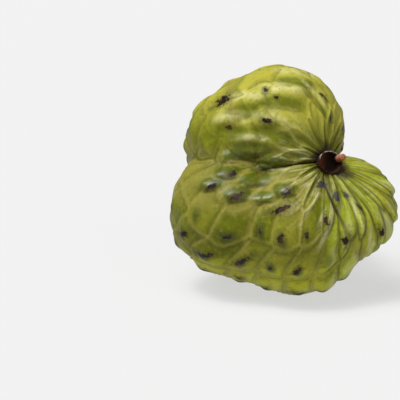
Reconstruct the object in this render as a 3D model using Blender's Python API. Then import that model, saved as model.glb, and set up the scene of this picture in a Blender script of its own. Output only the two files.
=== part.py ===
"""Custard apple: one whole fruit with its scales in relief, and the woody collar of its stem."""
import math

import bpy
import numpy as np

MM = 0.001

# ---- Driving dimensions, in millimetres ------------------------------------------------
# The flesh swells in rounded lobes about the fruit's middle: centre x, y, z and radius.
LOBES = (
    (-1.8, 3.0, 17.3, 26.2),     # crown
    (-18.0, 4.0, 11.5, 22.8),    # shoulder left of the crown
    (25.6, -15.5, -10.8, 20.4),  # right lobe
    (4.2, -14.5, -19.4, 28.0),   # front lobe
    (-22.0, -9.5, -15.5, 25.5),  # left lobe
    (-11.5, 21.0, 1.5, 28.5),    # back
    (-7.0, 5.0, -18.0, 30.5),    # seat
    (3.0, 24.0, -11.0, 24.0),    # back right
)
LOBE_SHARPNESS = 14.0            # how crisply the lobes crease where they meet

STEM_AXIS = (0.647, -0.697, 0.310)
STEM_DEPTH = 26.5                # from the fruit's middle to the bottom of the stem hollow
HOLLOW_ANGLE = 0.43              # radians from the stem axis over which the hollow opens
GROOVE_DEPTH = 3.2               # extra depth where the lobes crease beside the stem
GROOVE_END = 0.85                # radians from the stem axis where that fades
CREASE_FULL = 0.05               # measure of the crease where two lobes meet

# Scales stand in offset rows round the stem axis, and the rows climb as they turn.
SCALES_AROUND = 33               # scales in two neighbouring rows
ROW_CLIMB = 5                    # rows that a row climbs in one turn about the stem axis
SCALES_TURN = 0.463              # radians by which the first scale is turned about the axis
ROWS_EVEN = 2.56                 # rows per radian from stem to tip, before any crowding
ROWS_MIDDLE = 1.57               # half of the rows added by crowding the middle
ROWS_TIP = 3.2                   # crowding at the tip, where scales shrink
MIDDLE_ANGLE = 0.99              # radians from the stem axis at which rows are closest
MIDDLE_SPREAD = 0.785
ROWS_START = 1.075               # row count at the stem axis
ROWS_SWAY = 0.63                 # rows by which the scales reach further out on one side
SWAY_TURN = 0.51                 # turn of that side about the stem axis, in radians
RIB_ROWS = 1.3                   # rows by which the ribs of the right lobe reach further
RIB_TURN = -0.95
RIB_SPREAD = 0.5
CROWN_ROWS = 0.9                 # the same over the crown
CROWN_TURN = 2.4
CROWN_SPREAD = 0.7
COLUMN_SHIFT = 1.3               # columns by which scales are spread apart over the crown
FIRST_ROW = 2.4                  # scales begin this many rows from the stem
SCALE_TIP = 0.55                 # tip of a scale past its row's middle, in rows
SCALE_ROUND = 1.8                # exponent of the scale's rounded outline
NARROW_WIDTH = 0.5               # half width of the first scales, in scale spacings
FULL_WIDTH = 0.88                # half width of the others
WIDENING = 2.5                   # rows over which they widen
ROWS_DRAWN = 40                  # rows for which random values are drawn
JITTER_SEED = 11
JITTER = 0.13                    # random shift of each scale, in rows
WARP = 0.20                      # smooth wandering of the rows, in rows
WARP_WAVES = (20.0, 40.0)        # shortest and longest wave of it
WARP_BALL = 45.0                 # radius of the ball on which the waves are measured

EDGE_HEIGHT = 2.1                # raised edge round each scale
PLEAT_HEIGHT = 2.0               # the same edge beside the stem, where it is a long pleat
EDGE_INSIDE = 1.6                # width of the edge's slope into its own scale
EDGE_OUTSIDE = 1.0               # and down onto the next scale
FACE_HEIGHT = 2.3                # swelling of each scale's face
FACE_SLOPE = 5.0                 # distance over which the face rises from under the scale before
CUSHION_HEIGHT = 2.6             # swelling of the scales that stand proud as whole cushions
CUSHION_WIDTH = 4.2              # distance from their edges over which they swell
BEAK_HEIGHT = 0.8                # the blunt point on each face
BEAK_LENGTH = 2.4                # down the scale
BEAK_WIDTH = 4.0                 # across it
RIB_SHARE = 0.75                 # how far that goes for the ribs of the right lobe
KNOB_HEIGHT = 2.6                # the same point left of the stem, where it is a separate knob
KNOB_LENGTH = 2.2
KNOB_WIDTH = 3.4
CALM_SHARE = 0.4                 # share of the relief lost over the crown's right shoulder
PLEATS_END = 0.85                # radians from the stem axis where pleats turn into scales
PLEATS_BLEND = 0.22
STEM_CLEAR = 6.5                 # distance from the stem axis within which the relief fades
TIP_CLEAR = 16.0                 # and from the tip

# The fruit stands with the middle of its rest spot at the origin.
REST_SPOT = (-3.5, -2.0, -49.4)  # middle of the rest spot, from the fruit's middle
GRID_AROUND = 290
GRID_ALONG = 180
FRUIT_TRIANGLES = 11200

# The collar is the torn woody end of the stalk, a little cup set in the stem hollow.
COLLAR_AXIS = (0.45, -0.83, 0.33)
COLLAR_RADIUS_ACROSS = 5.5
COLLAR_RADIUS_UP = 4.7
COLLAR_SHIFT_ACROSS = -1.1       # off the middle of the hollow
COLLAR_SHIFT_UP = -0.3
COLLAR_PROFILE = (               # share of the radius, and height from the bottom of the hollow
    (0.40, -0.6),
    (0.68, 0.2),
    (0.76, 2.2),
    (0.82, 3.3),
    (0.90, 3.6),
    (0.96, 3.3),
    (1.00, 2.6),
    (1.00, -2.3),
    (0.86, -3.0),
)
COLLAR_SIDES = 28
RIM_FROM = 2.4                   # the rim is torn above this height
RIM_TEAR = 0.35
STUB_RADIUS = 1.3                # the splinter of stalk left on the rim
STUB_FROM = 0.0
STUB_TO = 5.3
STUB_OUT = 4.1                   # from the collar's axis
STUB_TURN = 0.50                 # radians round the collar's axis
STUB_LEAN = 0.16
SOCKET_GAP = 0.3                 # between the collar and the flesh
SOCKET_TOP = 16.0


def unit(vector):
    """The vector scaled to length one."""
    vector = np.asarray(vector, dtype=float)
    return vector / np.linalg.norm(vector)


def square_frame(direction):
    """Two unit vectors square to a direction, the first level with +X."""
    across = unit(np.array([1.0, 0.0, 0.0]) - direction[0] * direction)
    return across, np.cross(direction, across)


AXIS = unit(STEM_AXIS)
ACROSS, UPWARD = square_frame(AXIS)
MIDDLE = -np.array(REST_SPOT)    # the fruit's middle, seen from the rest spot


def directions(polar, turn):
    """Unit vectors at a polar angle from the stem axis and a turn about it."""
    sine = np.sin(polar)[..., None]
    around = np.cos(turn)[..., None] * ACROSS + np.sin(turn)[..., None] * UPWARD
    return sine * around + np.cos(polar)[..., None] * AXIS


def flesh_radius(polar, turn):
    """Distance from the fruit's middle to the smooth flesh below the scales."""
    rays = directions(polar, turn)
    total = np.zeros_like(polar)
    furthest = np.zeros_like(polar)
    for x, y, z, radius in LOBES:
        centre = np.array([x, y, z])
        along = rays @ centre
        reach = along + np.sqrt(np.maximum(along ** 2 - centre @ centre + radius ** 2, 0.0))
        reach = np.maximum(reach, 0.001)
        total += reach ** LOBE_SHARPNESS
        furthest = np.maximum(furthest, reach)
    lobes = total ** (1.0 / LOBE_SHARPNESS)
    crease = np.clip((lobes / furthest - 1.0) / CREASE_FULL, 0.0, 1.3)
    groove = GROOVE_DEPTH * crease ** 2 * np.exp(-(polar / GROOVE_END) ** 4)
    opening = 1.0 - np.exp(-(polar / HOLLOW_ANGLE) ** 2)
    return STEM_DEPTH + (lobes - groove - STEM_DEPTH) * opening


def row_number(polar):
    """Row count from the stem, which grows fastest round the middle and towards the tip."""
    crowding = np.tanh((polar - MIDDLE_ANGLE) / MIDDLE_SPREAD)
    to_tip = math.pi - polar
    shrinking = to_tip ** -0.5 - math.pi ** -0.5
    return ROWS_START + ROWS_EVEN * polar + ROWS_MIDDLE * (1.0 + crowding) + ROWS_TIP * shrinking


def row_shift(turn):
    """Rows by which scales are shifted towards the stem, at a quarter turn from it."""
    ribs = RIB_ROWS * np.exp(-((turn - RIB_TURN) / RIB_SPREAD) ** 2)
    crown = CROWN_ROWS * np.exp(-((turn - CROWN_TURN) / CROWN_SPREAD) ** 2)
    return ROWS_SWAY * np.cos(turn - SWAY_TURN) - ribs - crown


def rows_per_radian(polar, turn):
    """Slope of the row count, shift included."""
    crowding = np.tanh((polar - MIDDLE_ANGLE) / MIDDLE_SPREAD)
    to_tip = math.pi - polar
    middle = ROWS_MIDDLE / MIDDLE_SPREAD * (1.0 - crowding ** 2)
    even = ROWS_EVEN + middle + 0.5 * ROWS_TIP * to_tip ** -1.5
    return even + row_shift(turn) * np.sin(2.0 * polar)


def waves(points, seed, shortest, longest):
    """Smooth random values between about -1 and 1, in waves between two lengths."""
    rng = np.random.default_rng(seed)
    total = np.zeros(points.shape[:-1])
    for _ in range(28):
        wave = unit(rng.normal(size=3)) * 2.0 * math.pi / rng.uniform(shortest, longest)
        total += np.sin(points @ wave + rng.uniform(0.0, 2.0 * math.pi))
    return total / math.sqrt(14.0)


def smooth_step(values, start, end):
    """Rises smoothly from 0 at the start to 1 at the end."""
    share = np.clip((values - start) / (end - start), 0.0, 1.0)
    return share * share * (3.0 - 2.0 * share)


def cushioned(points, outward):
    """Where scales swell as whole cushions: on the crown, and as ribs on the right lobe."""
    crown = smooth_step(points[..., 2], -2.0, 8.0) * outward
    ribs = smooth_step(points[..., 0], 8.0, 18.0) * smooth_step(points[..., 2], 12.0, 2.0)
    return np.maximum(crown, RIB_SHARE * ribs)


def knobbed(points):
    """Where the points are knobs on even skin: in the fold left of the stem."""
    across_fold = np.exp(-((points[..., 2] - 4.5) / 8.0) ** 4)
    leftward = smooth_step(points[..., 0], 8.0, -4.0)
    frontward = smooth_step(points[..., 1], 6.0, -6.0)
    return across_fold * leftward * frontward


def calm(points):
    """Where the relief is low: over the crown's right shoulder."""
    rightward = smooth_step(points[..., 0] + 0.5 * points[..., 2], 2.0, 22.0)
    return rightward * smooth_step(points[..., 2], 8.0, 22.0)


def scale_noise(row, column, table):
    """The random value of one scale, the same on both sides of the place where the rows join."""
    turns = np.floor_divide(column, SCALES_AROUND)
    column = column - turns * SCALES_AROUND
    row = np.clip(row + ROW_CLIMB * turns, 0, table.shape[0] - 1)
    return table[row, column]


def scale_relief(polar, turn, radius):
    """Height of the scales above the flesh."""
    rng = np.random.default_rng(JITTER_SEED)
    shift_rows = rng.uniform(-JITTER, JITTER, (ROWS_DRAWN, SCALES_AROUND))
    shift_sides = rng.uniform(-JITTER, JITTER, (ROWS_DRAWN, SCALES_AROUND))
    swelling = rng.uniform(0.75, 1.25, (ROWS_DRAWN, SCALES_AROUND))

    turns = (turn + SCALES_TURN) / (2.0 * math.pi)
    fading = np.sin(polar) ** 2
    ball = WARP_BALL * directions(polar, turn)
    across = SCALES_AROUND * turns - COLUMN_SHIFT * fading * np.sin(turn - CROWN_TURN)
    across = across + WARP * fading * waves(ball, JITTER_SEED + 2, *WARP_WAVES)
    along = row_number(polar) - ROW_CLIMB * turns + row_shift(turn) * fading
    along = along + WARP * fading * waves(ball, JITTER_SEED + 3, *WARP_WAVES)
    mm_across = 2.0 * math.pi * radius * np.maximum(np.sin(polar), 0.02) / SCALES_AROUND
    mm_along = radius / rows_per_radian(polar, turn)

    owned = np.zeros(polar.shape, dtype=bool)
    edge_before = np.full(polar.shape, 99.0)
    edge_own = np.full(polar.shape, 99.0)
    down = np.full(polar.shape, 99.0)
    side = np.full(polar.shape, 99.0)
    lift = np.ones(polar.shape)
    first = np.floor(along).astype(int) - 2
    for step in range(5):
        row = first + step
        odd = (row + 1) % 2
        column = 2 * np.round((across - odd) / 2.0).astype(int) + odd
        centre = column + scale_noise(row, column, shift_sides)
        middle = row + scale_noise(row, column, shift_rows)
        aside = np.abs(across - centre)
        from_stem = row + ROW_CLIMB * column / SCALES_AROUND - FIRST_ROW
        widened = np.clip(from_stem / WIDENING, 0.0, 1.0)
        half_width = NARROW_WIDTH + (FULL_WIDTH - NARROW_WIDTH) * widened
        inside = middle + SCALE_TIP - (aside / half_width) ** SCALE_ROUND - along
        slope = SCALE_ROUND * (aside / half_width) ** (SCALE_ROUND - 1.0) / half_width
        steepness = np.sqrt((slope / mm_across) ** 2 + (1.0 / mm_along) ** 2)
        distance = inside / steepness
        real = from_stem >= 0.0
        mine = real & (inside >= 0.0) & ~owned
        edge_own = np.where(mine, distance, edge_own)
        down = np.where(mine, (along - middle) * mm_along, down)
        side = np.where(mine, (across - centre) * mm_across, side)
        lift = np.where(mine, scale_noise(row, column, swelling), lift)
        owned |= mine
        behind = real & (inside < 0.0) & ~owned
        edge_before = np.where(behind, np.minimum(edge_before, -distance), edge_before)

    points = directions(polar, turn) * radius[..., None]
    outward = 0.5 + 0.5 * np.tanh((polar - PLEATS_END) / PLEATS_BLEND)
    edge_height = PLEAT_HEIGHT + (EDGE_HEIGHT - PLEAT_HEIGHT) * outward
    inner_slope = np.exp(-(edge_own / EDGE_INSIDE) ** 1.5)
    outer_slope = np.exp(-(edge_before / EDGE_OUTSIDE) ** 1.5)
    edge = edge_height * np.maximum(inner_slope, outer_slope)
    level = outward * FACE_HEIGHT * (1.0 - np.exp(-edge_before / FACE_SLOPE))
    beak = np.exp(-(down / BEAK_LENGTH) ** 2 - (side / BEAK_WIDTH) ** 2)
    face = outward * lift * BEAK_HEIGHT * beak
    relief = np.maximum(edge, level) + face

    from_edge = np.minimum(np.minimum(edge_own, edge_before) / CUSHION_WIDTH, 1.0)
    cushion = CUSHION_HEIGHT * (1.0 - (1.0 - from_edge) ** 2) + face
    relief = relief + (cushion - relief) * cushioned(points, outward)
    relief = relief * (1.0 - CALM_SHARE * calm(points) * outward)
    knob = np.exp(-((down / KNOB_LENGTH) ** 2 + (side / KNOB_WIDTH) ** 2) ** 1.4)
    knobs = 0.4 + 0.6 * edge + KNOB_HEIGHT * lift * knob
    relief = relief + (knobs - relief) * knobbed(points) * outward
    clear_of_stem = 1.0 - np.exp(-(polar * radius / STEM_CLEAR) ** 4)
    clear_of_tip = 1.0 - np.exp(-((math.pi - polar) * radius / TIP_CLEAR) ** 2)
    return relief * clear_of_stem * clear_of_tip


def new_object(name, points, faces, material=None):
    """An object whose mesh holds the points, given in millimetres."""
    mesh = bpy.data.meshes.new(name)
    mesh.from_pydata((np.asarray(points) * MM).tolist(), [], faces)
    made = bpy.data.objects.new(name, mesh)
    bpy.context.collection.objects.link(made)
    if material:
        mesh.materials.append(material)
    mesh.shade_smooth()
    return made


def ring_faces(rings, around):
    """Faces of a stack of rings closed by a pole before the first ring and one after the last."""
    faces = []
    for ring in range(rings - 1):
        here = ring * around
        below = here + around
        for step in range(around):
            after = (step + 1) % around
            faces.append((here + step, below + step, below + after, here + after))
    first_pole = rings * around
    last = first_pole - around
    for step in range(around):
        after = (step + 1) % around
        faces.append((first_pole, step, after))
        faces.append((first_pole + 1, last + after, last + step))
    return faces


def principled(name, colour, roughness):
    """A plain surface of one colour."""
    material = bpy.data.materials.new(name)
    material.use_nodes = True
    shader = material.node_tree.nodes["Principled BSDF"]
    shader.inputs["Base Color"].default_value = (*colour, 1.0)
    shader.inputs["Roughness"].default_value = roughness
    shader.inputs["Metallic"].default_value = 0.0
    return material


def as_cutter(made):
    """Keeps an object as a guide that only cuts."""
    made.hide_render = True
    made.display_type = "WIRE"
    return made


def boolean(target, tool, operation):
    """Adds a live Boolean of the tool to the target."""
    modifier = target.modifiers.new(tool.name, "BOOLEAN")
    modifier.operation = operation
    modifier.solver = "EXACT"
    modifier.object = tool


def fruit_points():
    """Rings of points on the scaly skin from stem to tip, and its two poles."""
    polar = np.linspace(0.0, math.pi, GRID_ALONG + 1)[1:-1]
    turn = np.arange(GRID_AROUND) * 2.0 * math.pi / GRID_AROUND
    polar, turn = np.meshgrid(polar, turn, indexing="ij")
    radius = flesh_radius(polar, turn)
    radius = radius + scale_relief(polar, turn, radius)
    points = (directions(polar, turn) * radius[..., None]).reshape(-1, 3)
    stem_pole = AXIS * STEM_DEPTH
    tip_pole = -AXIS * radius[-1].mean()
    return np.vstack([points, stem_pole, tip_pole]) + MIDDLE


def collar_place(across, up, height):
    """A point by its distances from the collar's axis and its height above the hollow."""
    axis = unit(COLLAR_AXIS)
    side, rise = square_frame(axis)
    foot = AXIS * STEM_DEPTH + MIDDLE + side * COLLAR_SHIFT_ACROSS + rise * COLLAR_SHIFT_UP
    return foot + side * across + rise * up + axis * height


def collar_points():
    """Rings of points round the cup from its floor over its torn rim to its foot."""
    points = []
    for share, height in COLLAR_PROFILE:
        for step in range(COLLAR_SIDES):
            angle = 2.0 * math.pi * step / COLLAR_SIDES
            tear = RIM_TEAR * (math.sin(2.0 * angle + 0.6) + 0.6 * math.sin(5.0 * angle))
            torn = height + tear if height > RIM_FROM else height
            across = COLLAR_RADIUS_ACROSS * share * math.cos(angle)
            up = COLLAR_RADIUS_UP * share * math.sin(angle)
            points.append(collar_place(across, up, torn))
    points.append(collar_place(0.0, 0.0, COLLAR_PROFILE[0][1]))
    points.append(collar_place(0.0, 0.0, COLLAR_PROFILE[-1][1]))
    return points


def stub_points():
    """Rings of points down the splinter, which leans outward and ends in a blunt tip."""
    points = []
    sides = COLLAR_SIDES // 2
    for share, along in ((0.8, 0.92), (1.0, 0.7), (1.0, 0.0)):
        height = STUB_FROM + (STUB_TO - STUB_FROM) * along
        out = STUB_OUT + STUB_LEAN * (height - STUB_FROM)
        for step in range(sides):
            angle = 2.0 * math.pi * step / sides
            across = out * math.cos(STUB_TURN) + STUB_RADIUS * share * math.cos(angle)
            up = out * math.sin(STUB_TURN) + STUB_RADIUS * share * math.sin(angle)
            points.append(collar_place(across, up, height))
    centre = (math.cos(STUB_TURN), math.sin(STUB_TURN))
    tip_out = STUB_OUT + STUB_LEAN * (STUB_TO - STUB_FROM)
    points.append(collar_place(tip_out * centre[0], tip_out * centre[1], STUB_TO))
    points.append(collar_place(STUB_OUT * centre[0], STUB_OUT * centre[1], STUB_FROM))
    return points


def socket_points():
    """Rings of points round the well that the collar stands in."""
    points = []
    floor = COLLAR_PROFILE[-1][1] - SOCKET_GAP
    for height in (SOCKET_TOP, floor):
        for step in range(COLLAR_SIDES):
            angle = 2.0 * math.pi * step / COLLAR_SIDES
            across = (COLLAR_RADIUS_ACROSS + SOCKET_GAP) * math.cos(angle)
            up = (COLLAR_RADIUS_UP + SOCKET_GAP) * math.sin(angle)
            points.append(collar_place(across, up, height))
    points.append(collar_place(0.0, 0.0, SOCKET_TOP))
    points.append(collar_place(0.0, 0.0, floor))
    return points


for old in list(bpy.data.objects):
    bpy.data.objects.remove(old, do_unlink=True)

skin = principled("fruit_skin", (0.22, 0.24, 0.03), 0.42)
bark = principled("stem_bark", (0.10, 0.05, 0.025), 0.7)

fruit = new_object("fruit", fruit_points(), ring_faces(GRID_ALONG - 1, GRID_AROUND), skin)
thin = fruit.modifiers.new("thin", "DECIMATE")
thin.ratio = FRUIT_TRIANGLES / (2.0 * (GRID_ALONG - 1) * GRID_AROUND)

socket = as_cutter(new_object("socket", socket_points(), ring_faces(2, COLLAR_SIDES)))
boolean(fruit, socket, "DIFFERENCE")

bpy.ops.mesh.primitive_cube_add(size=0.2, location=(0.0, 0.0, -0.1))
floor = as_cutter(bpy.context.object)
floor.name = "floor"
boolean(fruit, floor, "DIFFERENCE")

stem = new_object("stem", collar_points(), ring_faces(len(COLLAR_PROFILE), COLLAR_SIDES), bark)
stub = as_cutter(new_object("stub", stub_points(), ring_faces(3, COLLAR_SIDES // 2)))
boolean(stem, stub, "UNION")
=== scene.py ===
"""Custard apple: the finished skin and stalk of one whole fruit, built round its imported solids."""
import math

import bpy
import numpy as np
from mathutils import Matrix, Vector


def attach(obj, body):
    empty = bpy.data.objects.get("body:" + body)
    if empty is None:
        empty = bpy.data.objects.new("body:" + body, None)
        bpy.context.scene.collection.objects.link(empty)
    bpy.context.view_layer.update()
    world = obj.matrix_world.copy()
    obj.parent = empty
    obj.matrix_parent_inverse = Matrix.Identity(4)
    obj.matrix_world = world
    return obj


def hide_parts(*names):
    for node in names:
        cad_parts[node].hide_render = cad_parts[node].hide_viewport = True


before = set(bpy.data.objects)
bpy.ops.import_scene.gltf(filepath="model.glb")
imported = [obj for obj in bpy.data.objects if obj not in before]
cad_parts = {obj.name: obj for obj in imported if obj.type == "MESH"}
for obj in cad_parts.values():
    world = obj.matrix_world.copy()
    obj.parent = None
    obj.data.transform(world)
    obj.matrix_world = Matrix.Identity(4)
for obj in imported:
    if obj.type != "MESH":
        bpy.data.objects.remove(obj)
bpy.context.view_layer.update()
bpy.ops.object.select_all(action="DESELECT")


# ==== The fruit ==========================================================================
# One grown piece: soft flesh in rounded lobes under a thin waxy skin. Each seed swells one scale,
# in rows that climb round the stalk's hollow and are drawn out into pleats beside it. On the
# crown they run together into soft swellings, and left of the stalk they are small knobs.

MM = 0.001

# Lobes of the flesh about the fruit's middle: centre x, y, z and radius, in millimetres.
LOBES = (
    (-1.8, 3.0, 17.3, 26.2),     # crown
    (-18.0, 4.0, 11.5, 22.8),    # shoulder left of the crown
    (25.6, -15.5, -10.8, 20.4),  # right lobe
    (4.2, -14.5, -19.4, 28.0),   # front lobe
    (-22.0, -9.5, -15.5, 25.5),  # left lobe
    (-11.5, 21.0, 1.5, 28.5),    # back
    (-7.0, 5.0, -18.0, 30.5),    # seat
    (3.0, 24.0, -11.0, 24.0),    # back right
)
LOBE_SHARPNESS = 14.0            # how crisply the lobes crease where they meet
STEM_AXIS = (0.647, -0.697, 0.310)
STEM_DEPTH = 26.5                # from the fruit's middle to the bottom of the stem hollow
HOLLOW_ANGLE = 0.43              # radians from the stem axis over which the hollow opens
CREASE_FULL = 0.05               # depth of a full crease between lobes, as a share of the radius
GROOVE_DEPTH = 3.2               # extra depth where the lobes crease beside the stem
GROOVE_END = 0.85                # radians from the stem axis where it fades
REST_SPOT = (-3.5, -2.0, -49.4)  # from the fruit's middle, and the origin of the frame

# The rows of scales.
SCALES_AROUND = 33               # scales in two neighbouring rows
ROW_CLIMB = 5                    # rows that a row climbs in one turn about the stem axis
SCALES_TURN = 0.463              # turn of the first scale about the stem axis
ROWS_EVEN = 2.56                 # rows per radian from stem to tip, before any crowding
ROWS_MIDDLE = 1.57               # half of the rows added by crowding the middle
ROWS_TIP = 3.2                   # crowding at the tip, where scales shrink
MIDDLE_ANGLE = 0.99              # radians from the stem axis at which rows are closest
MIDDLE_SPREAD = 0.785
ROWS_START = 1.075               # row count at the stem axis
ROWS_SWAY = 0.63                 # rows by which the scales reach further out on one side
SWAY_TURN = 0.51
RIB_ROWS = 1.3                   # rows by which the ribs of the right lobe reach further
RIB_TURN = -0.95
RIB_SPREAD = 0.5
CROWN_ROWS = 0.9                 # the same over the crown
CROWN_TURN = 2.4
CROWN_SPREAD = 0.7
COLUMN_SHIFT = 1.3               # columns by which scales are spread apart over the crown
FIRST_ROW = 2.4                  # scales begin this many rows from the stem
SCALE_TIP = 0.55                 # tip of a scale past its row's middle, in rows
SCALE_ROUND = 1.8                # exponent of the scale's rounded outline
NARROW_WIDTH = 0.5               # half width of the first scales, in scale spacings
FULL_WIDTH = 0.88                # half width of the others
WIDENING = 2.5                   # rows over which they widen
ROWS_DRAWN = 40                  # rows for which random values are drawn
JITTER_SEED = 11
JITTER = 0.13                    # random shift of each scale, in rows
WARP = 0.20                      # smooth wandering of the rows, in rows
WARP_WAVES = (20.0, 40.0)        # its shortest and longest waves, in millimetres
FAR = 99.0                       # stands for a distance to no edge at all

# The relief of the skin, in millimetres.
EDGE_HEIGHT = 0.85               # raised edge round each scale
PLEAT_HEIGHT = 1.3               # the same edge beside the stem, where it is a long pleat
EDGE_INSIDE = 0.8                # width of the edge's slope into its own scale
EDGE_OUTSIDE = 0.6               # and down onto the next scale
FACE_HEIGHT = 0.9                # step from the face of one scale down to the next
FACE_SLOPE = 2.6                 # distance over which the face rises from under the scale before
FACE_FALL = 0.45                 # share of the face that falls again towards its own edge
BEAK_HEIGHT = 0.9                # the blunt point on each face
BEAK_LENGTH = 2.4                # down the scale
BEAK_WIDTH = 4.0                 # across it
CUSHION_HEIGHT = 1.5             # swelling of the crown's scales, which stand as whole cushions
CUSHION_WIDTH = 4.8              # distance from their edges over which they swell
CUSHION_FACE = 0.35              # share of the face's step that is left on a cushion
CUSHION_BEAK = 0.5               # and of the point
RIB_HEIGHT = 1.8                 # swelling of the ribs of the right lobe
RIB_BEAK = 1.2                   # share of the point on a rib
RIB_SHARE = 0.85                 # how fully the ribs take the place of scales there
KNOB_HEIGHT = 2.1                # the long knobs in the fold left of the stem
FOLD_RISE = 0.3                  # the even skin between them
FOLD_SCALES = 0.60               # share of the scales' relief that is left in that fold
CALM_LOSS = 0.70                 # share of the relief that is lost on the crown's right shoulder
CROWN_LOSS = 0.45                # and where the crown has its swellings
PLEATS_END = 0.85                # radians from the stem axis where pleats turn into scales
PLEATS_BLEND = 0.22
STEM_CLEAR = 6.0                 # distance from the stem axis within which the relief fades
TIP_CLEAR = 14.0                 # and from the tip
RIPPLE_HEIGHT = 0.22             # gentle unevenness of the skin
RIPPLE_WAVES = (6.0, 20.0)       # its shortest and longest waves
WAVE_COUNT = 28                  # waves that make up each smooth unevenness
SKIN_SEGMENTS = 424              # grid of the skin, under a millimetre between points
SKIN_RINGS = 230


def unit(vector):
    """The vector scaled to length one."""
    vector = np.asarray(vector, dtype=float)
    return vector / np.linalg.norm(vector)


def square_frame(direction):
    """Two unit vectors square to a direction, the first level with +X."""
    across = unit(np.array([1.0, 0.0, 0.0]) - direction[0] * direction)
    return across, np.cross(direction, across)


AXIS = unit(STEM_AXIS)
ACROSS, UPWARD = square_frame(AXIS)
MIDDLE = -np.array(REST_SPOT)    # the fruit's middle, seen from the rest spot


def directions(polar, turn):
    """Unit vectors at a polar angle from the stem axis and a turn about it."""
    sine = np.sin(polar)[..., None]
    around = np.cos(turn)[..., None] * ACROSS + np.sin(turn)[..., None] * UPWARD
    return sine * around + np.cos(polar)[..., None] * AXIS


def lobe_reach(rays):
    """Distance along each ray to the far side of each lobe."""
    reaches = []
    for x, y, z, radius in LOBES:
        centre = np.array([x, y, z])
        along = rays @ centre
        reach = along + np.sqrt(np.maximum(along ** 2 - centre @ centre + radius ** 2, 0.0))
        reaches.append(np.maximum(reach, 0.001))
    return np.array(reaches)


def flesh_radius(polar, turn):
    """Distance from the fruit's middle to the smooth flesh, and how deep in a crease it is."""
    reaches = lobe_reach(directions(polar, turn))
    lobes = (reaches ** LOBE_SHARPNESS).sum(0) ** (1.0 / LOBE_SHARPNESS)
    crease = lobes / reaches.max(0) - 1.0
    opening = 1.0 - np.exp(-(polar / HOLLOW_ANGLE) ** 2)
    groove = GROOVE_DEPTH * np.clip(crease / CREASE_FULL, 0.0, 1.3) ** 2 * np.exp(-(polar / GROOVE_END) ** 4)
    return STEM_DEPTH + (lobes - groove - STEM_DEPTH) * opening, crease


def row_number(polar):
    """Row count from the stem, which grows fastest round the middle and towards the tip."""
    crowding = np.tanh((polar - MIDDLE_ANGLE) / MIDDLE_SPREAD)
    shrinking = (math.pi - polar) ** -0.5 - math.pi ** -0.5
    return ROWS_START + ROWS_EVEN * polar + ROWS_MIDDLE * (1.0 + crowding) + ROWS_TIP * shrinking


def row_shift(turn):
    """Rows by which scales are shifted towards the stem, at a quarter turn from it."""
    ribs = RIB_ROWS * np.exp(-((turn - RIB_TURN) / RIB_SPREAD) ** 2)
    crown = CROWN_ROWS * np.exp(-((turn - CROWN_TURN) / CROWN_SPREAD) ** 2)
    return ROWS_SWAY * np.cos(turn - SWAY_TURN) - ribs - crown


def rows_per_radian(polar, turn):
    """Slope of the row count, shift included."""
    crowding = np.tanh((polar - MIDDLE_ANGLE) / MIDDLE_SPREAD)
    middle = ROWS_MIDDLE / MIDDLE_SPREAD * (1.0 - crowding ** 2)
    even = ROWS_EVEN + middle + 0.5 * ROWS_TIP * (math.pi - polar) ** -1.5
    return even + row_shift(turn) * np.sin(2.0 * polar)


def of_scale(row, column, table):
    """The random value of one scale, the same on both sides of the place where the rows join."""
    turns = np.floor_divide(column, SCALES_AROUND)
    column = column - turns * SCALES_AROUND
    row = np.clip(row + ROW_CLIMB * turns, 0, table.shape[0] - 1)
    return table[row, column]


def waves(points, seed, shortest, longest):
    """Smooth random values between about -1 and 1, in waves between two lengths in millimetres."""
    rng = np.random.default_rng(seed)
    total = np.zeros(len(points))
    for _ in range(WAVE_COUNT):
        wave = unit(rng.normal(size=3)) * 2.0 * math.pi / rng.uniform(shortest, longest)
        total += np.sin(points @ wave + rng.uniform(0.0, 2.0 * math.pi))
    return total / math.sqrt(WAVE_COUNT / 2.0)


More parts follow.
